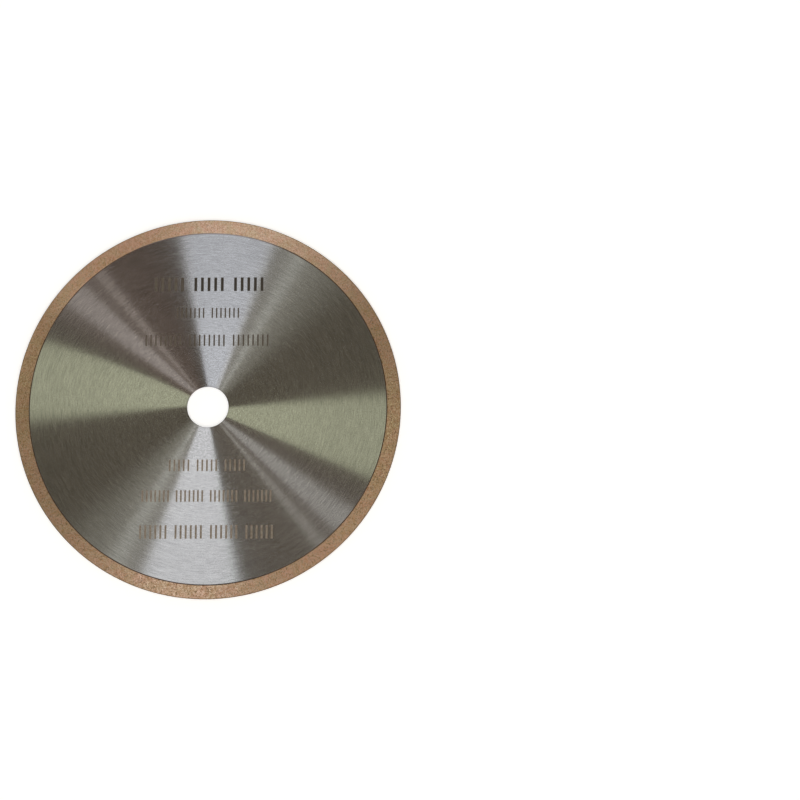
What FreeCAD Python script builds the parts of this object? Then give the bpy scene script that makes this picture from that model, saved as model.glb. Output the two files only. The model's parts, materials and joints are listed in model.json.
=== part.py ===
import FreeCAD, Part
import os

import Sketcher

# A continuous-rim wafering blade in millimetres. It is two pieces: a ground steel core with a plain
# arbor bore, and a sintered metal-bond diamond rim that stands proud of both of the core's faces.
# The frame's origin is on the blade's axis, midway through its thickness, and +Z is the axis.

PARTS_FOLDER = "parts"
LENGTH_TOLERANCE = 1e-6
FULL_TURN = 360.0

# The points of a sketch's lines and circles, and the sketch's own origin
START, END, CENTRE = 1, 2, 3
ORIGIN = -1

# Each driving dimension: its name, its value and what it measures
SIZES = (
    ("blade_diameter", 300.0, "over the rim"),
    ("rim_thickness", 2.0, "width of the cut"),
    ("rim_depth", 10.5, "radial depth of the abrasive"),
    ("rim_corner_radius", 0.25, "dressed outer corners of the rim"),
    ("rim_inner_break", 0.1, "broken edges where the rim steps down to the core"),
    ("side_clearance", 0.2, "how far the rim stands proud of each face of the core"),
    ("bore_diameter", 32.0, "arbor bore"),
    ("bore_chamfer", 0.2, "lead-in on both edges of the bore"),
    ("seam_relief_width", 0.5, "relief turned in the core beside the rim"),
    ("seam_relief_depth", 0.1, "depth of that relief below each face"),
)

# Where the rim seats on the core, and the core's own thickness
SEAT_RADIUS = "Sizes.blade_diameter / 2 - Sizes.rim_depth"
CORE_THICKNESS = "Sizes.rim_thickness - 2 * Sizes.side_clearance"


def make_sheet(doc):
    """The spreadsheet that holds every driving dimension."""
    sheet = doc.addObject("Spreadsheet::Sheet", "Sizes")
    for row, (alias, value, meaning) in enumerate(SIZES, start=1):
        sheet.set(f"A{row}", meaning)
        sheet.set(f"B{row}", str(value))
        sheet.setAlias(f"B{row}", alias)
    doc.recompute()
    return sheet


def make_body(doc, label):
    body = doc.addObject("PartDesign::Body", label)
    body.Label = label
    return body


def origin_feature(body, role):
    """One of the body's own origin planes or axes, found by its role."""
    return next(item for item in body.Origin.OriginFeatures if item.Role == role)


def make_sketch(body, name, plane_role):
    sketch = body.newObject("Sketcher::SketchObject", name)
    sketch.AttachmentSupport = (origin_feature(body, plane_role), [""])
    sketch.MapMode = "FlatFace"
    return sketch


def bind(sketch, constraint, name, expression):
    """Adds a constraint, names it and ties its value to the sheet."""
    index = sketch.addConstraint(constraint)
    sketch.renameConstraint(index, name)
    sketch.setExpression(f"Constraints.{name}", expression)


def circle_sketch(body, name, diameter):
    """A circle on the blade's axis, in the mid-plane."""
    sketch = make_sketch(body, name, "XY_Plane")
    unit_circle = Part.Circle()
    edge = sketch.addGeometry(unit_circle, False)
    sketch.addConstraint(Sketcher.Constraint("Coincident", edge, CENTRE, ORIGIN, START))
    bind(sketch, Sketcher.Constraint("Diameter", edge, 1.0), "diameter", diameter)
    return sketch


def section_sketch(body, name, inner_radius, outer_radius, low, high):
    """A rectangle in the plane of the axis, to be turned about that axis."""
    sketch = make_sketch(body, name, "XZ_Plane")
    # The rectangle is drawn roughly, and its constraints then give it its size and place
    near, far = 1.0, 2.0
    rough = [(near, near), (far, near), (far, far), (near, far)]
    corners = [FreeCAD.Vector(across, up, 0) for across, up in rough]
    next_corners = corners[1:] + corners[:1]
    lines = [
        sketch.addGeometry(Part.LineSegment(corner, next_corner), False)
        for corner, next_corner in zip(corners, next_corners)
    ]
    for line, next_line in zip(lines, lines[1:] + lines[:1]):
        sketch.addConstraint(Sketcher.Constraint("Coincident", line, END, next_line, START))
    bottom, outside, top, inside = lines
    for line in (bottom, top):
        sketch.addConstraint(Sketcher.Constraint("Horizontal", line))
    for line in (outside, inside):
        sketch.addConstraint(Sketcher.Constraint("Vertical", line))
    for direction, line, point, value, side, expression in (
        ("DistanceX", bottom, START, near, "inner_radius", inner_radius),
        ("DistanceX", bottom, END, far, "outer_radius", outer_radius),
        ("DistanceY", bottom, START, near, "low", low),
        ("DistanceY", top, START, far, "high", high),
    ):
        distance = Sketcher.Constraint(direction, ORIGIN, START, line, point, value)
        bind(sketch, distance, side, expression)
    return sketch


def turned(body, kind, name, sketch):
    """A full turn of a section about the blade's axis: a Revolution adds, a Groove cuts."""
    feature = body.newObject(kind, name)
    feature.Profile = sketch
    feature.ReferenceAxis = (origin_feature(body, "Z_Axis"), [""])
    feature.Angle = FULL_TURN
    return feature


def ring_edges(feature, radius, heights):
    """Names of the feature's round edges of this radius about the axis, at these heights."""
    found = []
    for number, edge in enumerate(feature.Shape.Edges, start=1):
        if not isinstance(edge.Curve, Part.Circle):
            continue
        same_radius = abs(edge.Curve.Radius - radius) < LENGTH_TOLERANCE
        height = edge.Curve.Center.z
        if same_radius and any(abs(height - wanted) < LENGTH_TOLERANCE for wanted in heights):
            found.append(f"Edge{number}")
    if len(found) != len(heights):
        raise RuntimeError(f"{feature.Label}: {len(found)} edges of radius {radius}, not {len(heights)}")
    return found


def must_shrink(before, after):
    """A cut that points away from the solid removes nothing and shows no error."""
    if after.Shape.Volume >= before.Shape.Volume - LENGTH_TOLERANCE:
        raise RuntimeError(f"{after.Label} removed nothing")


def make_steel_core(doc, sheet):
    """The disc blank, bored, relieved beside the rim and chamfered at the bore."""
    body = make_body(doc, "steel_core")
    blank = body.newObject("PartDesign::Pad", "core_blank")
    blank.Profile = circle_sketch(body, "core_outline", f"2 * ({SEAT_RADIUS})")
    blank.SideType = "Symmetric"
    blank.setExpression("Length", CORE_THICKNESS)
    doc.recompute()

    bore = body.newObject("PartDesign::Pocket", "arbor_bore")
    bore.Profile = circle_sketch(body, "bore_outline", "Sizes.bore_diameter")
    bore.Type = "ThroughAll"
    bore.SideType = "Symmetric"
    doc.recompute()
    must_shrink(blank, bore)

    relief_section = section_sketch(
        body,
        "seam_relief_section",
        f"{SEAT_RADIUS} - Sizes.seam_relief_width",
        SEAT_RADIUS,
        f"({CORE_THICKNESS}) / 2 - Sizes.seam_relief_depth",
        f"({CORE_THICKNESS}) / 2",
    )
    relief = turned(body, "PartDesign::Groove", "seam_relief", relief_section)
    doc.recompute()
    must_shrink(bore, relief)

    both_faces = body.newObject("PartDesign::Mirrored", "seam_relief_both_faces")
    both_faces.Originals = [relief]
    both_faces.MirrorPlane = (origin_feature(body, "XY_Plane"), [""])
    body.Tip = both_faces
    doc.recompute()
    must_shrink(relief, both_faces)

    face_height = sheet.rim_thickness / 2 - sheet.side_clearance
    lead_in = body.newObject("PartDesign::Chamfer", "bore_lead_in")
    bore_edges = ring_edges(both_faces, sheet.bore_diameter / 2, (face_height, -face_height))
    lead_in.Base = (both_faces, bore_edges)
    lead_in.setExpression("Size", "Sizes.bore_chamfer")
    body.Tip = lead_in
    doc.recompute()
    must_shrink(both_faces, lead_in)
    return body


def make_diamond_rim(doc, sheet):
    """The sintered ring: a turned section with dressed outer corners and broken inner edges."""
    body = make_body(doc, "diamond_rim")
    section = section_sketch(
        body,
        "rim_section",
        SEAT_RADIUS,
        "Sizes.blade_diameter / 2",
        "-Sizes.rim_thickness / 2",
        "Sizes.rim_thickness / 2",
    )
    ring = turned(body, "PartDesign::Revolution", "pressed_ring", section)
    doc.recompute()

    outer_radius = sheet.blade_diameter / 2
    face_height = sheet.rim_thickness / 2
    heights = (face_height, -face_height)
    corners = body.newObject("PartDesign::Fillet", "dressed_corners")
    corners.Base = (ring, ring_edges(ring, outer_radius, heights))
    corners.setExpression("Radius", "Sizes.rim_corner_radius")
    doc.recompute()
    must_shrink(ring, corners)

    steps = body.newObject("PartDesign::Chamfer", "broken_step_edges")
    steps.Base = (corners, ring_edges(corners, outer_radius - sheet.rim_depth, heights))
    steps.setExpression("Size", "Sizes.rim_inner_break")
    body.Tip = steps
    doc.recompute()
    must_shrink(corners, steps)
    return body


def check_and_export(doc, bodies):
    """Writes one STEP file for each piece, once the whole document is sound."""
    doc.recompute()
    for item in doc.Objects:
        if "Invalid" in item.State or "Error" in item.State:
            raise RuntimeError(f"{item.Label} failed: {item.State}")
    for body in bodies:
        if body.Shape.isNull() or not body.Shape.isValid():
            raise RuntimeError(f"{body.Label} has no sound shape")
    os.makedirs(PARTS_FOLDER, exist_ok=True)
    for body in bodies:
        body.Shape.exportStep(os.path.join(PARTS_FOLDER, f"{body.Label}.step"))
        print(f"{body.Label}: {len(body.Shape.Solids)} solid, {body.Shape.Volume:.1f} cubic mm")


def main():
    doc = FreeCAD.newDocument("WaferingBlade")
    sheet = make_sheet(doc)
    bodies = [make_steel_core(doc, sheet), make_diamond_rim(doc, sheet)]
    check_and_export(doc, bodies)


main()
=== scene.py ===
import json
import math
from typing import NamedTuple

import bpy
import numpy as np
from mathutils import Matrix, Vector


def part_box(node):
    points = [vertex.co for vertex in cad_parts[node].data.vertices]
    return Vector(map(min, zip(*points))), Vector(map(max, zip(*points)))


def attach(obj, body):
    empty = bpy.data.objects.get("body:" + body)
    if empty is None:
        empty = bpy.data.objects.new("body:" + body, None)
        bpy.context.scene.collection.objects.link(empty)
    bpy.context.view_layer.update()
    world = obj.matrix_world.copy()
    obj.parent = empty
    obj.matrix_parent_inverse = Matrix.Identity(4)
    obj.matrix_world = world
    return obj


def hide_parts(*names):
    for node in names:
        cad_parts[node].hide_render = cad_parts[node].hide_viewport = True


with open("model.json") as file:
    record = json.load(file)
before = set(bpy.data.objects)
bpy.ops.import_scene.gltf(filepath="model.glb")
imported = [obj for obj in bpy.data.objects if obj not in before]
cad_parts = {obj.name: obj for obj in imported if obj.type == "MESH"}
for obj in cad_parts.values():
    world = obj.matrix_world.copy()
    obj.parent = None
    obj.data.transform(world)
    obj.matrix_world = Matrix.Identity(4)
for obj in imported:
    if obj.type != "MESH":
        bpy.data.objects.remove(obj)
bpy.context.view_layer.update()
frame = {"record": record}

bl_info = {
    "name": "Wafering blade",
    "version": (1, 0, 0),
    "blender": (4, 5, 0),
    "location": "3D View > Sidebar > Blade",
    "description": "A wafering blade: ground steel core, sintered bronze rim, diamond grains, etched marks",
    "category": "Object",
}

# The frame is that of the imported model: the blade's axis is Z through the origin, and the blade lies
# flat with its middle plane at height 0. Lengths are in metres where a comment doesn't say otherwise.
MM = 0.001
SQUARE_MM = MM * MM

core_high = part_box("steel_core")[1]
rim_low, rim_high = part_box("diamond_rim")
arbor_bore = next(mount for mount in frame["record"]["mounts"] if mount["name"] == "arbor_bore")


# Settings that a user would change


def length(name, description, default):
    return bpy.props.FloatProperty(
        name=name, description=description, default=default, unit="LENGTH", subtype="DISTANCE", precision=5
    )


def colour(name, description, default):
    return bpy.props.FloatVectorProperty(
        name=name, description=description, default=default, size=3, min=0.0, max=1.0, subtype="COLOR"
    )


def count(name, description, default):
    return bpy.props.IntProperty(name=name, description=description, default=default, min=1)


class BladeSizes(bpy.types.PropertyGroup):
    """The turned sections of the core and the rim."""

    core_radius: length("Core radius", "Where the rim seats on the core", core_high.x)
    core_half_thickness: length("Core half thickness", "Middle plane to the core's face", core_high.z)
    rim_radius: length("Rim radius", "Outside of the rim", min(rim_high.x, rim_high.y))
    rim_half_thickness: length("Rim half thickness", "Middle plane to the rim's face", rim_high.z)
    bore_radius: length("Bore radius", "Radius of the arbor bore", arbor_bore["dims"]["r_mm"] * MM)
    bore_chamfer: length("Bore chamfer", "Lead-in on both edges of the bore", 0.2 * MM)
    relief_width: length("Relief width", "Groove turned in the core beside the rim", 0.5 * MM)
    relief_depth: length("Relief depth", "Depth of that groove", 0.1 * MM)
    corner_radius: length("Corner radius", "Dressed outer corners of the rim", 0.25 * MM)
    step_break: length("Step break", "Broken edge where the rim steps down to the core", 0.1 * MM)
    bond_recess: length("Bond recess", "How far the bond lies below the tips of its grains", 0.03 * MM)
    segments: count("Segments", "Steps round the blade", 960)


class GrainSettings(bpy.types.PropertyGroup):
    """The diamond grains in the rim."""

    smallest: length("Smallest grain", "Radius of the smallest grains", 0.1 * MM)
    largest: length("Largest grain", "Radius of the largest grains", 0.24 * MM)
    sunk: length("Sunk", "How deep the lowest grain centres lie in the bond", 0.12 * MM)
    per_square_mm: bpy.props.FloatProperty(
        name="Grains per square millimetre", description="How thickly the grains lie", default=1.0, min=0.0
    )
    seed: count("Seed", "Picks one scatter of the grains", 7)


class FinishColours(bpy.types.PropertyGroup):
    """The colours of the finishes."""

    steel: colour("Ground steel", "The core's own colour", (0.55, 0.55, 0.55))
    # The heat stain also stands in for painted shade of the rim's step
    heat_stain_and_step_shade: colour("Heat stain", "Brown film left in the relief beside the rim", (0.13, 0.085, 0.06))
    bronze: colour("Sintered bronze", "The rim's bond", (0.7, 0.415, 0.24))
    bronze_pale: colour("Pale bronze", "Where dressing has rubbed the bond bright", (0.89, 0.655, 0.5))
    # Dark bronze also serves as painted shade: in the pores, in one sector of the rim and along its corner
    bronze_dark_and_shade: colour("Dark bronze", "Pores and tarnish in the bond", (0.28, 0.18, 0.095))
    grain_pale: colour("Pale grain", "The clearest diamond grains", (0.78, 0.72, 0.6))
    grain_dark: colour("Dark grain", "The darkest diamond grains", (0.2, 0.16, 0.12))
    etched: colour("Etched marks", "Oxide left by the etching", (0.45, 0.385, 0.315))
    etched_dark: colour("Dark etching", "Where that oxide lies thicker", (0.28, 0.215, 0.165))
    etched_deep: colour("Deep etching", "The three upper rows", (0.09, 0.075, 0.06))
    etched_deepest: colour("Deepest etching", "The boldest row, at the top", (0.07, 0.058, 0.046))


class StageSettings(bpy.types.PropertyGroup):
    """The floor and the light."""

    floor: colour("Floor", "Colour of the pale floor", (0.85, 0.85, 0.85))
    horizon: colour("Horizon", "The pale backdrop all round", (1.0, 1.0, 1.0))
    dim: colour("Studio ceiling", "Light from the unlit part of the ceiling", (0.125, 0.099, 0.077))
    floor_size: length("Floor size", "Side of the floor", 80.0)


SETTINGS = {
    "blade_sizes": BladeSizes,
    "blade_grains": GrainSettings,
    "blade_colours": FinishColours,
    "blade_stage": StageSettings,
}


# Nodes


class Ramp(NamedTuple):
    """A smooth change from one number to another, while a value goes from start to end."""

    start: float
    end: float
    before: float = 0.0
    after: float = 1.0


class Wire:
    """A node's output. Arithmetic on it adds Math nodes."""

    def __init__(self, graph, socket):
        self.graph, self.socket = graph, socket

    def math(self, operation, *others):
        """Any Math node, with this wire as its first value."""
        return self.graph.math(operation, self, *others)

    def __add__(self, other):
        return self.math("ADD", other)

    def __radd__(self, other):
        return self.graph.math("ADD", other, self)

    def __sub__(self, other):
        return self.math("SUBTRACT", other)

    def __rsub__(self, other):
        return self.graph.math("SUBTRACT", other, self)

    def __mul__(self, other):
        return self.math("MULTIPLY", other)

    def __rmul__(self, other):
        return self.graph.math("MULTIPLY", other, self)

    def __truediv__(self, other):
        return self.math("DIVIDE", other)

    def __rtruediv__(self, other):
        return self.graph.math("DIVIDE", other, self)


def pick(sockets, key):
    """A socket by its place, its identifier or its name. Sockets of one name differ in identifier."""
    if isinstance(key, int):
        return sockets[key]
    for socket in sockets:
        if socket.identifier == key:
            return socket
    return sockets[key]


class Graph:
    """A node tree that is filled through one method."""

    def __init__(self, tree):
        self.tree = tree
        tree.nodes.clear()

    def add(self, kind, settings=None, values=None, output=0):
        """Adds a node, sets it up, gives its sockets values or links, and returns one output."""
        node = self.tree.nodes.new(kind)
        for name, value in (settings or {}).items():
            setattr(node, name, value)
        for key, value in (values or {}).items():
            socket = pick(node.inputs, key)
            if isinstance(value, Wire):
                self.tree.links.new(value.socket, socket)
            else:
                socket.default_value = value
        return Wire(self, pick(node.outputs, output)) if node.outputs else None

    def other_output(self, wire, output):
        """Another output of the node that a wire comes from."""
        return Wire(self, pick(wire.socket.node.outputs, output))

    def math(self, operation, *values):
        return self.add("ShaderNodeMath", {"operation": operation}, dict(enumerate(values)))

    def vector_math(self, operation, values):
        return self.add("ShaderNodeVectorMath", {"operation": operation}, values)

    def join(self, x, y, z):
        return self.add("ShaderNodeCombineXYZ", None, {"X": x, "Y": y, "Z": z})

    def split(self, vector):
        x = self.add("ShaderNodeSeparateXYZ", None, {"Vector": vector}, "X")
        return x, self.other_output(x, "Y"), self.other_output(x, "Z")

    def ease(self, value, ramp):
        """What a ramp gives for a value."""
        sockets = ("Value", "From Min", "From Max", "To Min", "To Max")
        values = dict(zip(sockets, (value, *ramp)))
        return self.add("ShaderNodeMapRange", {"interpolation_type": "SMOOTHSTEP"}, values)

    def mix(self, factor, first, second):
        """A colour between two colours."""
        values = {"Factor_Float": factor, "A_Color": opaque(first), "B_Color": opaque(second)}
        return self.add("ShaderNodeMix", {"data_type": "RGBA"}, values, "Result_Color")

    def blend(self, kind, first, second):
        """Two colours added or multiplied."""
        values = {"Factor_Float": 1.0, "A_Color": opaque(first), "B_Color": opaque(second)}
        return self.add("ShaderNodeMix", {"data_type": "RGBA", "blend_type": kind}, values, "Result_Color")

    def noise(self, vector, scale=1.0, detail=0.0, roughness=0.5):
        values = {"Vector": vector, "Scale": scale, "Detail": detail, "Roughness": roughness}
        return self.add("ShaderNodeTexNoise", None, values, "Fac")


def opaque(value):
    """A colour property as a socket's four numbers. A wire passes through."""
    return value if isinstance(value, Wire) else (*value, 1.0)


def node_tree(name, inputs):
    """A geometry tree with named inputs, as a graph and a dict of their wires."""
    tree = bpy.data.node_groups.new(name, "GeometryNodeTree")
    for input_name, kind in inputs.items():
        tree.interface.new_socket(input_name, in_out="INPUT", socket_type=kind)
    tree.interface.new_socket("Result", in_out="OUTPUT", socket_type="NodeSocketGeometry")
    graph = Graph(tree)
    first = graph.add("NodeGroupInput")
    return graph, {input_name: graph.other_output(first, input_name) for input_name in inputs}


def finish_tree(graph, geometry, finish):
    """Every tree ends in real geometry with its material."""
    real = graph.add("GeometryNodeRealizeInstances", None, {"Geometry": geometry})
    coated = graph.add("GeometryNodeSetMaterial", None, {"Geometry": real, "Material": finish})
    graph.add("NodeGroupOutput", None, {"Result": coated})
    return graph.tree


def made_by_nodes(name, start, stages):
    """Runs node trees one after another on a starting mesh, and keeps the result as a plain mesh."""
    piece = bpy.data.objects.new(name, start)
    for tree, values in stages:
        modifier = piece.modifiers.new(tree.name, "NODES")
        modifier.node_group = tree
        identifiers = {
            item.name: item.identifier for item in tree.interface.items_tree if item.in_out == "INPUT"
        }
        for socket_name, value in values.items():
            modifier[identifiers[socket_name]] = value
    bpy.context.scene.collection.objects.link(piece)
    bpy.context.view_layer.update()
    evaluated = piece.evaluated_get(bpy.context.evaluated_depsgraph_get())
    result = bpy.data.meshes.new_from_object(evaluated)
    piece.modifiers.clear()
    piece.data = result
    result.name = name
    bpy.data.meshes.remove(start)
    return piece


# Turned pieces

# Edges that turn more sharply than this are drawn sharp
SHARP_TURN = math.radians(30.0)

BAKE_MAP = "OFBake"

# The share of each strip of the bake map that stays free below and above the surface
STRIP_MARGIN = 0.02

# How many rings of faces the flat of each piece has, and how many steps round the rim's corner
CORE_FACE_RINGS = 14
RIM_FACE_RINGS = 5
CORNER_STEPS = 5


def turning_tree():
    """Sweeps a section once round the blade's axis."""
    graph, given = node_tree(
        "Turned section",
        {
            "Section": "NodeSocketGeometry",
            "Path radius": "NodeSocketFloat",
            "Segments": "NodeSocketInt",
            "Finish": "NodeSocketMaterial",
        },
    )
    section = graph.add("GeometryNodeMeshToCurve", None, {"Mesh": given["Section"]})
    path = graph.add(
        "GeometryNodeCurvePrimitiveCircle",
        None,
        {"Resolution": given["Segments"], "Radius": given["Path radius"]},
    )
    swept = graph.add("GeometryNodeCurveToMesh", None, {"Curve": path, "Profile Curve": section})
    return finish_tree(graph, swept, given["Finish"])


def mirrored_section(upper):
    """A closed section from its upper half, which runs outwards from the inner wall."""
    return upper + [(radius, -height) for radius, height in reversed(upper)]


def evenly(start, end, steps):
    """Points between two radii, without either end."""
    return [start + (end - start) * step / steps for step in range(1, steps)]


def turned_piece(name, section, finish, segments, strips):
    """A full turn of a closed section, with a bake map that unrolls it."""
    path_radius = sum(radius for radius, _ in section) / len(section)
    points = [(radius - path_radius, -height, 0.0) for radius, height in section]
    edges = [(index, (index + 1) % len(points)) for index in range(len(points))]
    outline = bpy.data.meshes.new(f"{name}_section")
    outline.from_pydata(points, edges, [])
    values = {"Path radius": path_radius, "Segments": segments, "Finish": finish}
    piece = made_by_nodes(name, outline, [(turning_tree(), values)])
    unroll(piece.data, section, segments, strips)
    piece.data.set_sharp_from_angle(angle=SHARP_TURN)
    return piece


def unroll(mesh, section, segments, strips):
    """Lays the turned surface out in level strips, one above the other, each a part of the turn."""
    closed = np.array(section + section[:1])
    along = np.concatenate([[0.0], np.cumsum(np.linalg.norm(np.diff(closed, axis=0), axis=1))])
    along /= along[-1]
    corners = np.empty(len(mesh.loops), np.int32)
    mesh.loops.foreach_get("vertex_index", corners)
    # Every face of a turned piece has four corners
    corners = corners.reshape(-1, 4)
    step, place = corners // len(section), corners % len(section)
    # The last faces end at the first points again, so their places there count on instead
    for index, size in ((step, segments), (place, len(section))):
        over_the_end = (index.max(1) - index.min(1) > 1)[:, None] & (index == 0)
        index[over_the_end] = size
    steps_a_strip = segments // strips
    strip = (step.min(1) // steps_a_strip)[:, None]
    across = (step - strip * steps_a_strip) / steps_a_strip
    up = (strip + STRIP_MARGIN + (1 - 2 * STRIP_MARGIN) * along[place]) / strips
    layer = mesh.uv_layers.new(name=BAKE_MAP)
    layer.uv.foreach_set("vector", np.stack([across, up], -1).astype(np.float32).ravel())


def core_section(sizes):
    """The core: bore, lead-in chamfers, flat faces and the relief beside the rim."""
    face = sizes.core_half_thickness
    lead_in = sizes.bore_radius + sizes.bore_chamfer
    relief = sizes.core_radius - sizes.relief_width
    upper = [(sizes.bore_radius, face - sizes.bore_chamfer), (lead_in, face)]
    upper += [(radius, face) for radius in evenly(lead_in, relief, CORE_FACE_RINGS)]
    upper += [(relief, face), (relief, face - sizes.relief_depth)]
    upper += [(sizes.core_radius, face - sizes.relief_depth)]
    return mirrored_section(upper)


def rim_section(sizes):
    """The rim: broken step edges, flat faces and dressed outer corners."""
    face = sizes.rim_half_thickness - sizes.bond_recess
    outside = sizes.rim_radius - sizes.bond_recess
    corner = sizes.corner_radius
    face_start = sizes.core_radius + sizes.step_break
    upper = [(sizes.core_radius, face - sizes.step_break), (face_start, face)]
    upper += [(radius, face) for radius in evenly(face_start, outside - corner, RIM_FACE_RINGS)]
    for step in range(CORNER_STEPS + 1):
        turn = math.pi / 2 * step / CORNER_STEPS
        across, up = corner * math.sin(turn), corner * math.cos(turn)
        upper.append((outside - corner + across, face - corner + up))
    return mirrored_section(upper)


# Diamond grains

# The attribute that keeps each grain's tone
GRAIN_TONE = "tone"


def grain_tree():
    """Scatters grains over the rim and dresses them flush with its faces."""
    graph, given = node_tree(
        "Dressed grains",
        {
            "Surface": "NodeSocketGeometry",
            "Grains per area": "NodeSocketFloat",
            "Smallest": "NodeSocketFloat",
            "Largest": "NodeSocketFloat",
            "Sunk": "NodeSocketFloat",
            "Inner radius": "NodeSocketFloat",
            "Outer radius": "NodeSocketFloat",
            "Half thickness": "NodeSocketFloat",
            "Seed": "NodeSocketInt",
            "Finish": "NodeSocketMaterial",
        },
    )

    def random(low, high, draw, kind="FLOAT"):
        """A random value for each point. Draws with different numbers differ."""
        end = "_001" if kind == "FLOAT" else ""
        values = {f"Min{end}": low, f"Max{end}": high, "Seed": given["Seed"] + draw}
        return graph.add("FunctionNodeRandomValue", {"data_type": kind}, values, f"Value{end}")

    x, y, z = graph.split(graph.add("GeometryNodeInputPosition"))
    radius = (x * x + y * y).math("SQRT")
    on_faces = radius.math("GREATER_THAN", given["Inner radius"])
    points = graph.add(
        "GeometryNodeDistributePointsOnFaces",
        None,
        {
            "Mesh": given["Surface"],
            "Selection": on_faces,
            "Density": given["Grains per area"],
            "Seed": given["Seed"],
        },
    )
    normal = graph.other_output(points, "Normal")
    depth = random(0.0, given["Sunk"], draw=1)
    down = graph.vector_math("SCALE", {"Vector": normal, "Scale": 0.0 - depth})
    sunk = graph.add("GeometryNodeSetPosition", None, {"Geometry": points, "Offset": down})
    # Four segments and two rings make the eight faces of a diamond crystal
    crystal = graph.add("GeometryNodeMeshUVSphere", None, {"Segments": 4, "Rings": 2, "Radius": 1.0})
    grains = graph.add(
        "GeometryNodeInstanceOnPoints",
        None,
        {
            "Points": sunk,
            "Instance": crystal,
            "Rotation": random((0.0,) * 3, (2 * math.pi,) * 3, draw=2, kind="FLOAT_VECTOR"),
            "Scale": random(given["Smallest"], given["Largest"], draw=3),
        },
    )
    toned = graph.add(
        "GeometryNodeStoreNamedAttribute",
        {"data_type": "FLOAT", "domain": "INSTANCE"},
        {"Geometry": grains, "Name": GRAIN_TONE, "Value": random(0.0, 1.0, draw=4)},
    )
    real = graph.add("GeometryNodeRealizeInstances", None, {"Geometry": toned})
    pull_in = (given["Outer radius"] / radius).math("MINIMUM", 1.0)
    height = z.math("MINIMUM", given["Half thickness"]).math("MAXIMUM", 0.0 - given["Half thickness"])
    dressed = graph.add(
        "GeometryNodeSetPosition",
        None,
        {"Geometry": real, "Position": graph.join(x * pull_in, y * pull_in, height)},
    )
    return finish_tree(graph, dressed, given["Finish"])


# Etched marks


class EtchedRow(NamedTuple):
    """A row of upright strokes: where its middle lies on the face and how it is made up.

    Lengths are in millimetres. So many strokes stand together in each group, and a stroke's place
    is left free between two groups.
    """

    up: float
    across: float
    tall: float
    wide: float
    pitch: float
    strokes: int
    groups: int


ETCHED_ROWS = (
    EtchedRow(up=98.0, across=-0.5, tall=11.0, wide=2.2, pitch=5.2, strokes=5, groups=3),
    EtchedRow(up=75.0, across=-1.0, tall=8.0, wide=1.1, pitch=3.4, strokes=7, groups=2),
    EtchedRow(up=53.0, across=-1.5, tall=9.0, wide=1.2, pitch=3.8, strokes=8, groups=3),
    EtchedRow(up=-46.0, across=0.0, tall=9.0, wide=1.3, pitch=3.6, strokes=5, groups=3),
    EtchedRow(up=-70.0, across=0.0, tall=9.0, wide=1.3, pitch=3.3, strokes=7, groups=4),
    EtchedRow(up=-98.0, across=0.0, tall=10.5, wide=1.5, pitch=3.9, strokes=6, groups=4),
)

# How far the film of a mark stands above the face, and how far its sides reach into the steel
ETCH_FILM = 0.012 * MM
ETCH_ROOT = 0.02 * MM


def etched_row_tree():
    """Adds one row of upright strokes in groups."""
    graph, given = node_tree(
        "Etched row",
        {
            "Rows so far": "NodeSocketGeometry",
            "Start": "NodeSocketVector",
            "Pitch": "NodeSocketVector",
            "Stroke": "NodeSocketVector",
            "Count": "NodeSocketInt",
            "Group": "NodeSocketInt",
            "Finish": "NodeSocketMaterial",
        },
    )
    line = graph.add(
        "GeometryNodeMeshLine",
        None,
        {"Count": given["Count"], "Start Location": given["Start"], "Offset": given["Pitch"]},
    )
    # A group and the free place after it repeat. The free place is the one with the group's number.
    place = graph.add("GeometryNodeInputIndex").math("MODULO", given["Group"] + 1)
    kept = place.math("LESS_THAN", given["Group"] - 0.5)
    stroke = graph.add("GeometryNodeMeshCube", None, {"Size": given["Stroke"]})
    strokes = graph.add(
        "GeometryNodeInstanceOnPoints",
        None,
        {"Points": line, "Selection": kept, "Instance": stroke},
    )
    both = graph.add("GeometryNodeJoinGeometry", None, {"Geometry": strokes})
    graph.tree.links.new(given["Rows so far"].socket, both.socket.node.inputs[0])
    return finish_tree(graph, both, given["Finish"])


# Finishes

WHITE = (1.0, 1.0, 1.0)
BLACK = (0.0, 0.0, 0.0)

# The middle of what a noise texture gives
NOISE_MIDDLE = 0.5

# How far apart in the noise two places lie for each millimetre of height between them, so that the
# two faces don't repeat each other
FACES_APART = 20.0


class Sector(NamedTuple):
    """A sector of the face, in degrees.

    Its middle is counted round the axis from +X. It reaches so far to each side of that, and it is
    at its full strength as far as the last number.
    """

    middle: float
    reach: float
    full: float


# The grinding grooves: how steep their sides are, how far apart they lie in millimetres, and how
# many radians noise puts them out of step
GROOVE_SLOPE = 0.34
GROOVE_PITCH = 0.35
GROOVE_DRIFT = 10.0

# The grooves aren't true circles. Anticlockwise round the blade they run inwards, at an angle in
# radians of SPIRAL over the radius, less what that is at the radius SPIRAL_TRUE. Their centre lies
# OFF_CENTRE along +X. All three are in millimetres.
SPIRAL = 1.9
SPIRAL_TRUE = 105.0
OFF_CENTRE = 0.84

# In this sector the core has a slight wave: the grooves turn by so many radians more for each
# millimetre inwards from this radius in millimetres
WAVE_SECTOR = Sector(154.5, reach=9.6, full=5.1)
WAVE = 0.0007
WAVE_TRUE = 87.0

# A quarter of a full circle, so that light spreads across the grooves
ACROSS_GROOVES = 0.25


def new_material(name):
    material = bpy.data.materials.new(name)
    material.use_nodes = True
    return material, Graph(material.node_tree)


def finish_material(graph, fixed, varying):
    """One surface shader, with its constants on its own sockets."""
    shader = graph.add("ShaderNodeBsdfPrincipled", None, {**fixed, **varying})
    graph.add("ShaderNodeOutputMaterial", None, {"Surface": shader})


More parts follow.
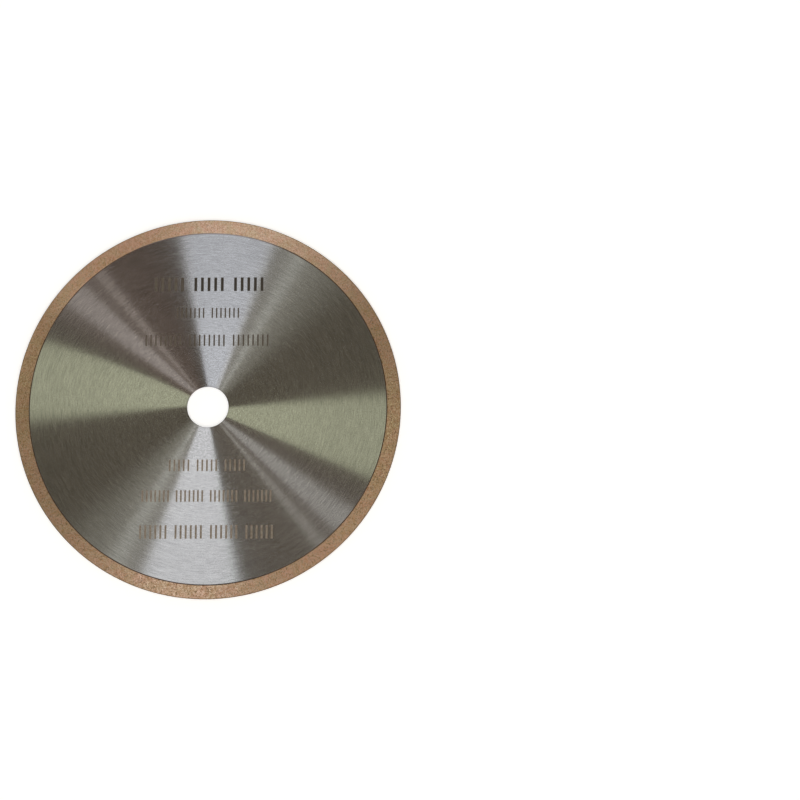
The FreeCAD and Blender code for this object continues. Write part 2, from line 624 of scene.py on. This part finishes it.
class Turned:
    """Patterns that follow a turned surface, in millimetres from the blade's axis."""

    def __init__(self, graph):
        self.graph = graph
        here = graph.add("ShaderNodeTexCoord", None, None, "Object")
        self.place = graph.vector_math("SCALE", {"Vector": here, "Scale": 1 / MM})
        self.x, self.y, self.z = graph.split(self.place)
        self.radius = (self.x * self.x + self.y * self.y).math("SQRT")
        # The cosine and the sine of the angle round the axis
        self.across, self.up = self.x / self.radius, self.y / self.radius

    def within(self, sector):
        """Goes from 0 outside a sector to 1 where it is at its full strength."""
        middle, reach, full = (math.radians(angle) for angle in sector)
        nearness = self.across * math.cos(middle) + self.up * math.sin(middle)
        return self.graph.ease(nearness, Ramp(math.cos(reach), math.cos(full)))

    def tinted(self, base, sector, tint):
        """A colour that takes a tint in a sector."""
        return self.graph.blend("MULTIPLY", base, self.graph.mix(self.within(sector), WHITE, tint))

    def rings(self, per_mm, per_turn, detail=0.0, roughness=0.5):
        """Noise drawn out round the axis: how fine it is outwards, and how much it changes round."""
        outward = self.radius * per_mm + self.z * FACES_APART
        vector = self.graph.join(self.across * per_turn, self.up * per_turn, outward)
        return self.graph.noise(vector, 1.0, detail, roughness)

    def specks(self, per_mm, detail=0.0, roughness=0.5):
        """Noise that is alike in every direction."""
        return self.graph.noise(self.place, per_mm, detail, roughness)

    def powder(self, per_mm):
        """Two random numbers for each of the grains of powder that the metal was pressed from."""
        values = {"Vector": self.place, "Scale": per_mm}
        grains = self.graph.add("ShaderNodeTexVoronoi", None, values, "Color")
        return self.graph.split(grains)[:2]

    def grooves(self):
        """The slope of fine grooves turned one after another, put out of step by noise."""
        drift = self.rings(per_mm=0.9, per_turn=3.0, detail=1.0) * GROOVE_DRIFT
        phase = self.radius * (2 * math.pi / GROOVE_PITCH) + drift
        return phase.math("SINE") * GROOVE_SLOPE

    def tilted(self, slope, start=None):
        """The surface's normal, or the one given, tipped across the grooves and never along them."""
        graph = self.graph
        start = start or graph.add("ShaderNodeNewGeometry", None, None, "Normal")
        turn = (SPIRAL + self.up * OFF_CENTRE) / self.radius - SPIRAL / SPIRAL_TRUE
        turn = turn + self.within(WAVE_SECTOR) * (WAVE_TRUE - self.radius) * WAVE
        x, y = self.across - self.up * turn, self.up + self.across * turn
        tipped = graph.vector_math("ADD", {0: start, 1: graph.join(x * slope, y * slope, 0.0)})
        return graph.vector_math("NORMALIZE", {0: tipped})


# How much each noise shows in the tone of the ground steel
MARKS_SHOW = 0.7
GRAIN_SHOW = 0.6
BANDS_SHOW = 0.1

# Painted shade: the steel's tone falls off outwards, by the radius in millimetres, and towards +Y, by
# the sine of the angle, as the light falls off away from the near side. At the very edge of the bore
# it is lower too, over so many millimetres: painted shade where the chamfer mirrors dark.
PAINTED_SHADE_OUTWARDS = Ramp(40.0, 140.0, before=1.02, after=0.92)
PAINTED_SHADE_UPWARDS = Ramp(0.8, 0.97, before=1.0, after=0.88)
BORE_EDGE_WIDTH = 0.9
BORE_EDGE_SHADE = 0.75

# Painted reflection tints of the steel, each in its sector: the colour of the ceiling panel mirrored
# there. The last one also lightens the steel, a painted highlight.
PAINTED_REFLECTION_TINTS = (
    (Sector(84.0, reach=18.0, full=10.0), (0.975, 0.995, 1.03)),
    (Sector(128.0, reach=26.0, full=12.0), (1.01, 0.935, 0.925)),
    (Sector(294.0, reach=20.0, full=10.0), (1.07, 1.1, 1.08)),
)

# The heat stain, which also carries painted shade of the rim's step, starts, and is full, so many
# millimetres before the relief. It fades towards +Y, where the step's wall is lit, and in one sector
# it is darker, a painted shadow of the step.
STAIN_AND_SHADE_START = 0.45
STAIN_AND_SHADE_FULL = 0.1
STEP_SHADE_FADES = Ramp(0.88, 0.98, before=1.0, after=0.45)
STEP_SHADOW_SECTOR = Sector(278.0, reach=16.0, full=8.0)
STEP_SHADOW_DARKER = 0.6

# How rough the steel is, and what the stain adds to that and takes from its metallic look
STEEL_ROUGH = 0.15
STAIN_ROUGHER = 0.3
STAIN_DULLER = 0.4


def ground_steel(colours, sizes):
    """Steel ground in a lathe: its marks run round the axis, so light spreads across them. Its colour
    carries painted shade and painted reflections too.
    """
    material, graph = new_material("steel_ground_in_circles")
    turned = Turned(graph)
    marks = turned.rings(per_mm=1.4, per_turn=12.0, detail=2.0, roughness=0.6)
    grain = turned.specks(per_mm=1.1, detail=2.0, roughness=0.6)
    bands = turned.rings(per_mm=0.13, per_turn=1.5, detail=2.0)
    tone = 1 + (marks - NOISE_MIDDLE) * MARKS_SHOW + (grain - NOISE_MIDDLE) * GRAIN_SHOW
    tone = tone + (bands - NOISE_MIDDLE) * BANDS_SHOW
    # Painted shade: darker outwards and towards +Y
    tone = tone * graph.ease(turned.radius, PAINTED_SHADE_OUTWARDS) * graph.ease(turned.up, PAINTED_SHADE_UPWARDS)
    # Painted shade at the bore's edge, where its chamfer mirrors dark
    edge = (sizes.bore_radius + sizes.bore_chamfer) / MM
    tone = tone * graph.ease(turned.radius, Ramp(edge, edge + BORE_EDGE_WIDTH, before=BORE_EDGE_SHADE))
    steel = graph.blend("MULTIPLY", colours.steel, graph.join(tone, tone, tone))
    # Painted reflections: the steel takes the tint of the panel mirrored in each sector
    for sector, tint in PAINTED_REFLECTION_TINTS:
        steel = turned.tinted(steel, sector, tint)
    # Heat stain with painted shade of the rim's step: it fades towards +Y, where the step's wall is lit,
    # and is darker in one sector, a painted shadow
    relief = (sizes.core_radius - sizes.relief_width) / MM
    stained_and_shaded = graph.ease(turned.radius, Ramp(relief - STAIN_AND_SHADE_START, relief - STAIN_AND_SHADE_FULL))
    stained_and_shaded = stained_and_shaded * graph.ease(turned.up, STEP_SHADE_FADES)
    stain = graph.mix(turned.within(STEP_SHADOW_SECTOR) * STEP_SHADOW_DARKER, colours.heat_stain_and_step_shade, BLACK)
    finish_material(
        graph,
        {"Anisotropic": 1.0, "Anisotropic Rotation": ACROSS_GROOVES},
        {
            "Base Color": graph.mix(stained_and_shaded, steel, stain),
            "Roughness": STEEL_ROUGH + stained_and_shaded * STAIN_ROUGHER,
            "Metallic": 1 - stained_and_shaded * STAIN_DULLER,
            "Normal": turned.tilted(turned.grooves()),
        },
    )
    return material


# What wears the bond: the grit of the dressing stone, the rings that it leaves and the hardness of
# each grain of powder, in shares of 1. From little wear to much, the bond is rubbed bright.
GRIT_WEARS = 0.6
RINGS_WEAR = 0.15
HARDNESS_WEARS = 0.25
WORN = Ramp(0.32, 0.68)

# Painted light: towards +Y, by the sine of the angle, the rim is paler and cooler and its pores show
# faintly, as more light falls there
TOWARDS_TOP = Ramp(0.4, 0.97)
TOP_PAINTED_LIGHT = (1.11, 1.16, 1.22)
TOP_PORES_FAINTER = 0.5

# Painted shade: in one sector the rim is less pale, and in another darker still, where less light
# reaches it
SHADED_SECTOR = Sector(116.0, reach=24.0, full=12.0)
SHADED_SECTOR_TINT = (0.95, 0.9, 0.87)
DARKER_SHADED_SECTOR = Sector(168.0, reach=26.0, full=14.0)
DARKER_SHADE = 0.24

# Broad patches in the bond, between two tints
PATCHES = Ramp(0.35, 0.65)
PATCH_TINTS = ((0.96, 1.0, 0.94), (1.03, 0.99, 1.0))

# Which of the powder's grains have left a pore, by their second number, and how dark the pore is
# painted, a painted shade for its hollow
FALLEN_OUT = Ramp(0.86, 0.92)
PORE_SHADE = 0.6

# Painted shade along the dressed corner, from so many millimetres inside it, where its rounded edge
# looks dark
CORNER_SHADE_WIDTH = 0.45

# How rough the bond is, how much smoother it is where worn, a little less so at the top, and how
# much rougher a pore is
BOND_ROUGH = 0.6
WORN_SMOOTHER = 0.35
TOP_ROUGHER = 0.03
PORE_ROUGHER = 0.1

# The bond's relief: its height, the share of that which dressing has left, and how deep a pore goes
BOND_RELIEF = 0.03 * MM
DRESSED_FLAT = 0.49
PORE_DEPTH = 0.5

# How steep the bond's grooves are beside those of the steel
BOND_GROOVES = 0.55


def sintered_bronze(colours, sizes):
    """Pressed and sintered bronze: porous and dressed in circles, with painted light and shade in places.
    """
    material, graph = new_material("dressed_bronze_bond")
    turned = Turned(graph)
    patches = turned.specks(per_mm=0.11, detail=3.0)
    dressing = turned.rings(per_mm=1.6, per_turn=22.0, detail=2.0)
    grit = turned.specks(per_mm=1.6, detail=3.0, roughness=0.7)
    hard, loose = turned.powder(per_mm=1.5)
    wear = grit * GRIT_WEARS + dressing * RINGS_WEAR + hard * HARDNESS_WEARS
    worn = graph.ease(wear, WORN)
    # Painted light falls towards +Y
    upper = graph.ease(turned.up, TOWARDS_TOP)
    porous = graph.ease(loose, FALLEN_OUT) * (1 - upper * TOP_PORES_FAINTER)
    base = graph.mix(worn, colours.bronze, colours.bronze_pale)
    # Painted shade in the pores
    base = graph.mix(porous * PORE_SHADE, base, colours.bronze_dark_and_shade)
    base = graph.blend("MULTIPLY", base, graph.mix(graph.ease(patches, PATCHES), *PATCH_TINTS))
    # Painted shade in two sectors of the rim, where less light reaches it
    base = graph.mix(turned.within(DARKER_SHADED_SECTOR) * DARKER_SHADE, base, colours.bronze_dark_and_shade)
    # Painted light: paler and cooler towards +Y
    base = graph.blend("MULTIPLY", base, graph.mix(upper, WHITE, TOP_PAINTED_LIGHT))
    base = turned.tinted(base, SHADED_SECTOR, SHADED_SECTOR_TINT)
    # Painted shade along the dressed outer corner
    corner = (sizes.rim_radius - sizes.corner_radius) / MM
    corner_shade = graph.ease(turned.radius, Ramp(corner - CORNER_SHADE_WIDTH, corner))
    height = wear.math("MINIMUM", DRESSED_FLAT) - porous * PORE_DEPTH
    relief = {"Strength": 1.0, "Distance": BOND_RELIEF, "Height": height}
    bump = graph.add("ShaderNodeBump", None, relief, "Normal")
    finish_material(
        graph,
        {"Anisotropic": 0.8, "Anisotropic Rotation": ACROSS_GROOVES, "Metallic": 0.9},
        {
            "Base Color": graph.mix(corner_shade, base, colours.bronze_dark_and_shade),
            "Roughness": BOND_ROUGH - worn * (WORN_SMOOTHER - upper * TOP_ROUGHER) + porous * PORE_ROUGHER,
            "Normal": turned.tilted(turned.grooves() * BOND_GROOVES, bump),
        },
    )
    return material


# What a grain's tone from 0 to 1 makes of it: from dark to pale, and from rough to smooth
GRAIN_PALENESS = Ramp(0.2, 0.9)
GRAIN_ROUGHNESS = Ramp(0.0, 1.0, before=0.45, after=0.2)


def diamond_grain(colours):
    """Grit: each grain keeps one tone, from clear and pale to dark."""
    material, graph = new_material("diamond_grain")
    tone = graph.add("ShaderNodeAttribute", {"attribute_name": GRAIN_TONE}, None, "Fac")
    base = graph.mix(graph.ease(tone, GRAIN_PALENESS), colours.grain_dark, colours.grain_pale)
    rough = graph.ease(tone, GRAIN_ROUGHNESS)
    finish_material(graph, {"IOR": 2.0}, {"Base Color": base, "Roughness": rough})
    return material


# How specks and rings share in the thickness of the oxide, and where it goes from thin to thick
SPECKS_THICKEN = 0.6
RINGS_THICKEN = 0.4
THICKNESS = Ramp(0.4, 0.65)

# How rough the oxide is, and by how much that varies
OXIDE_ROUGH = 0.6
OXIDE_ROUGH_VARIES = 0.2

# The upper rows are etched deeper, the top row deepest of all, and less so towards -X. These go by
# Y and by X in millimetres.
DEEP_BY_Y = Ramp(0.0, 40.0, before=0.0, after=0.82)
DEEP_BY_X = Ramp(-28.0, -8.0, before=0.85, after=1.0)
DEEPEST_BY_Y = Ramp(84.0, 92.0)
DEEPEST_BY_X = Ramp(-28.0, -8.0)


def etched_oxide(colours):
    """The matt brown film of an etched mark, thicker here and there."""
    material, graph = new_material("etched_oxide")
    turned = Turned(graph)
    specks = turned.specks(per_mm=0.9, detail=3.0, roughness=0.6)
    rings = turned.rings(per_mm=1.1, per_turn=9.0, detail=2.0)
    thick = graph.ease(specks * SPECKS_THICKEN + rings * RINGS_THICKEN, THICKNESS)
    deep = graph.ease(turned.y, DEEP_BY_Y) * graph.ease(turned.x, DEEP_BY_X)
    deepest = graph.ease(turned.y, DEEPEST_BY_Y) * graph.ease(turned.x, DEEPEST_BY_X)
    base = graph.mix(thick, colours.etched, colours.etched_dark)
    base = graph.mix(deep, base, colours.etched_deep)
    base = graph.mix(deepest, base, colours.etched_deepest)
    rough = OXIDE_ROUGH + (specks - NOISE_MIDDLE) * OXIDE_ROUGH_VARIES
    finish_material(graph, {"Metallic": 0.2}, {"Base Color": base, "Roughness": rough})
    return material


# Stage

# The camera sees the ceiling mirrored in the middle of the blade's face in this direction. These are
# its X and its Y, and the ceiling's panels are set out round it.
MIRROR_WAY = (-0.0958, 0.1949)


class Panel(NamedTuple):
    """A lit panel of the ceiling, along a line through the mirror way.

    Its edges, and how soft each of them is, are in degrees round the mirror way. Its ends and their
    softness are distances along the line, and without an end it reaches the backdrop.
    """

    edges: tuple
    soft: tuple
    brightness: float
    tint: tuple
    ends: tuple = (None, None)
    end_soft: float = 0.1


PANELS = (
    Panel((69.0, 99.9), (3.0, 4.5), 1.05, (0.925, 0.955, 1.0), ends=(None, 0.52), end_soft=0.3),
    Panel((46.5, 69.5), (24.0, 3.0), 0.205, (0.98, 1.0, 0.87)),
    Panel((57.0, 62.5), (3.5, 4.5), 0.23, (0.95, 1.0, 0.95)),
    Panel((155.5, 183.9), (2.0, 6.8), 0.5, (0.93, 1.0, 0.68), ends=(-0.7, 0.7)),
    Panel((127.5, 146.5), (3.0, 4.0), 0.035, (1.0, 0.93, 0.85)),
    Panel((127.2, 130.8), (1.1, 1.0), 0.23, (1.0, 0.98, 0.92)),
    Panel((135.2, 143.9), (1.2, 3.6), 0.31, (0.98, 1.0, 0.97)),
    Panel((185.0, 235.0), (20.0, 20.0), 0.012, (0.4, 1.0, 0.3)),
    Panel((105.0, 155.0), (15.0, 8.0), 1.1, (1.0, 0.91, 0.82), ends=(None, -0.8), end_soft=0.15),
)
HALF_TURN = math.pi

# Where the backdrop gives way to the ceiling, as the sines of two angles above the horizon
BACKDROP_TOP = Ramp(math.sin(math.radians(12.0)), math.sin(math.radians(24.0)))

# How brightly the floor glows where it is seen, on top of the light that falls on it
FLOOR_GLOW = 0.62

CAMERA_PLACE = Vector((0.18948, -0.38542, 1.93198))
CAMERA_AIM = Vector((0.14928, 0.0050, 0.0))

# The lens and the width of the sensor are in millimetres, what the camera sees is in metres from it
CAMERA_LENS = 114.3
CAMERA_SENSOR = 36.0
CAMERA_SEES = (0.01, 200.0)


def studio_light(stage):
    """A soft studio ceiling of broad panels over a pale backdrop."""
    world = bpy.data.worlds.new("studio")
    world.use_nodes = True
    bpy.context.scene.world = world
    graph = Graph(world.node_tree)
    way = graph.add("ShaderNodeTexCoord", None, None, "Generated")
    x, y, z = graph.split(way)
    side, ahead = x - MIRROR_WAY[0], y - MIRROR_WAY[1]
    turn = ahead.math("ARCTAN2", side)
    light = stage.dim
    for panel in PANELS:
        first, last = (math.radians(edge) for edge in panel.edges)
        first_soft, last_soft = (math.radians(soft) / 2 for soft in panel.soft)
        start = first - first_soft
        into, width = (turn - start).math("FLOORED_MODULO", HALF_TURN), last - start
        lit = graph.ease(into, Ramp(0.0, first_soft * 2))
        fades = Ramp(width - last_soft, width + last_soft, before=panel.brightness, after=0.0)
        lit = lit * graph.ease(into, fades)
        middle = (first + last) / 2
        along = side * math.cos(middle) + ahead * math.sin(middle)
        soft = panel.end_soft / 2
        near, far = panel.ends
        if near is not None:
            lit = lit * graph.ease(along, Ramp(near - soft, near + soft))
        if far is not None:
            lit = lit * graph.ease(along, Ramp(far - soft, far + soft, before=1.0, after=0.0))
        light = graph.blend("ADD", light, graph.blend("MULTIPLY", panel.tint, graph.join(lit, lit, lit)))
    light = graph.mix(graph.ease(z, BACKDROP_TOP), stage.horizon, light)
    shader = graph.add("ShaderNodeBackground", None, {"Color": light, "Strength": 1.0})
    graph.add("ShaderNodeOutputWorld", None, {"Surface": shader})


def floor_material(stage):
    """Pale floor. It looks white to the camera and in reflections, and keeps the blade's shadow."""
    material, graph = new_material("pale_floor")
    matt = graph.add("ShaderNodeBsdfDiffuse", None, {"Color": opaque(stage.floor)})
    camera_ray = graph.add("ShaderNodeLightPath", None, None, "Is Camera Ray")
    seen = camera_ray + graph.other_output(camera_ray, "Is Glossy Ray")
    seen = seen + graph.other_output(camera_ray, "Is Transmission Ray")
    glow = graph.add("ShaderNodeEmission", None, {"Color": opaque(WHITE), "Strength": seen * FLOOR_GLOW})
    both = graph.add("ShaderNodeAddShader", None, {0: matt, 1: glow})
    graph.add("ShaderNodeOutputMaterial", None, {"Surface": both})
    return material


def lay_floor(stage):
    half, height = stage.floor_size / 2, rim_low.z
    corners = [(-half, -half, height), (half, -half, height), (half, half, height), (-half, half, height)]
    mesh = bpy.data.meshes.new("floor")
    mesh.from_pydata(corners, [], [(0, 1, 2, 3)])
    mesh.materials.append(floor_material(stage))
    floor = bpy.data.objects.new("floor", mesh)
    bpy.context.scene.collection.objects.link(floor)


def place_camera():
    """The photograph's viewpoint, with the blade's +Y up the picture."""
    data = bpy.data.cameras.new("camera")
    data.lens, data.sensor_width = CAMERA_LENS, CAMERA_SENSOR
    data.clip_start, data.clip_end = CAMERA_SEES
    camera = bpy.data.objects.new("camera", data)
    back = (CAMERA_PLACE - CAMERA_AIM).normalized()
    right = Vector((0.0, 1.0, 0.0)).cross(back).normalized()
    turned = Matrix((right, back.cross(right), back)).transposed()
    camera.matrix_world = Matrix.Translation(CAMERA_PLACE) @ turned.to_4x4()
    bpy.context.scene.collection.objects.link(camera)
    bpy.context.scene.camera = camera


# Operators


class BLADE_OT_steel_core(bpy.types.Operator):
    """Make the ground steel core"""

    bl_idname = "blade.steel_core"
    bl_label = "Steel core"

    def execute(self, context):
        sizes, colours = context.scene.blade_sizes, context.scene.blade_colours
        finish = ground_steel(colours, sizes)
        core = turned_piece("ground_core", core_section(sizes), finish, sizes.segments, strips=1)
        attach(core, "root")
        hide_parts("steel_core")
        return {"FINISHED"}


class BLADE_OT_bronze_rim(bpy.types.Operator):
    """Make the sintered bronze rim"""

    bl_idname = "blade.bronze_rim"
    bl_label = "Bronze rim"

    def execute(self, context):
        sizes = context.scene.blade_sizes
        finish = sintered_bronze(context.scene.blade_colours, sizes)
        rim = turned_piece("bronze_rim", rim_section(sizes), finish, sizes.segments, strips=8)
        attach(rim, "root")
        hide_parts("diamond_rim")
        return {"FINISHED"}


class BLADE_OT_diamond_grains(bpy.types.Operator):
    """Scatter the diamond grains over the rim"""

    bl_idname = "blade.diamond_grains"
    bl_label = "Diamond grains"

    def execute(self, context):
        sizes, grains = context.scene.blade_sizes, context.scene.blade_grains
        surface = bpy.data.objects["bronze_rim"].data.copy()
        values = {
            "Grains per area": grains.per_square_mm / SQUARE_MM,
            "Smallest": grains.smallest,
            "Largest": grains.largest,
            "Sunk": grains.sunk,
            "Inner radius": sizes.core_radius + sizes.step_break + grains.largest,
            "Outer radius": sizes.rim_radius,
            "Half thickness": sizes.rim_half_thickness,
            "Seed": grains.seed,
            "Finish": diamond_grain(context.scene.blade_colours),
        }
        piece = made_by_nodes("diamond_grains", surface, [(grain_tree(), values)])
        piece.data.shade_flat()
        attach(piece, "root")
        return {"FINISHED"}


class BLADE_OT_etched_marks(bpy.types.Operator):
    """Etch rows of plain strokes on the upper face"""

    bl_idname = "blade.etched_marks"
    bl_label = "Etched marks"

    def execute(self, context):
        sizes = context.scene.blade_sizes
        finish, tree = etched_oxide(context.scene.blade_colours), etched_row_tree()
        middle = sizes.core_half_thickness + (ETCH_FILM - ETCH_ROOT) / 2
        stages = []
        for row in ETCHED_ROWS:
            places = row.groups * (row.strokes + 1) - 1
            left = row.across - row.pitch * (places - 1) / 2
            values = {
                "Start": (left * MM, row.up * MM, middle),
                "Pitch": (row.pitch * MM, 0.0, 0.0),
                "Stroke": (row.wide * MM, row.tall * MM, ETCH_FILM + ETCH_ROOT),
                "Count": places,
                "Group": row.strokes,
                "Finish": finish,
            }
            stages.append((tree, values))
        piece = made_by_nodes("etched_marks", bpy.data.meshes.new("no_rows"), stages)
        piece.data.shade_flat()
        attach(piece, "root")
        return {"FINISHED"}


class BLADE_OT_stage(bpy.types.Operator):
    """Lay the floor and set the light and the camera"""

    bl_idname = "blade.stage"
    bl_label = "Stage"

    def execute(self, context):
        stage = context.scene.blade_stage
        lay_floor(stage)
        studio_light(stage)
        place_camera()
        context.scene.view_settings.view_transform = "Standard"
        return {"FINISHED"}


OPERATORS = (
    BLADE_OT_steel_core,
    BLADE_OT_bronze_rim,
    BLADE_OT_diamond_grains,
    BLADE_OT_etched_marks,
    BLADE_OT_stage,
)


class BLADE_PT_sidebar(bpy.types.Panel):
    """Lists the blade's settings and the operators that make it"""

    bl_idname = "BLADE_PT_sidebar"
    bl_label = "Wafering blade"
    bl_space_type = "VIEW_3D"
    bl_region_type = "UI"
    bl_category = "Blade"

    def draw(self, context):
        for name, group in SETTINGS.items():
            box = self.layout.box()
            for setting in group.__annotations__:
                box.prop(getattr(context.scene, name), setting)
        for operator in OPERATORS:
            self.layout.operator(operator.bl_idname)


def register():
    for group in SETTINGS.values():
        bpy.utils.register_class(group)
    for name, group in SETTINGS.items():
        setattr(bpy.types.Scene, name, bpy.props.PointerProperty(type=group))
    for operator in OPERATORS:
        bpy.utils.register_class(operator)
    bpy.utils.register_class(BLADE_PT_sidebar)


def unregister():
    bpy.utils.unregister_class(BLADE_PT_sidebar)
    for operator in reversed(OPERATORS):
        bpy.utils.unregister_class(operator)
    for name in SETTINGS:
        delattr(bpy.types.Scene, name)
    for group in SETTINGS.values():
        bpy.utils.unregister_class(group)


def main():
    register()
    bpy.ops.blade.steel_core()
    bpy.ops.blade.bronze_rim()
    bpy.ops.blade.diamond_grains()
    bpy.ops.blade.etched_marks()
    bpy.ops.blade.stage()


if __name__ == "__main__":
    main()
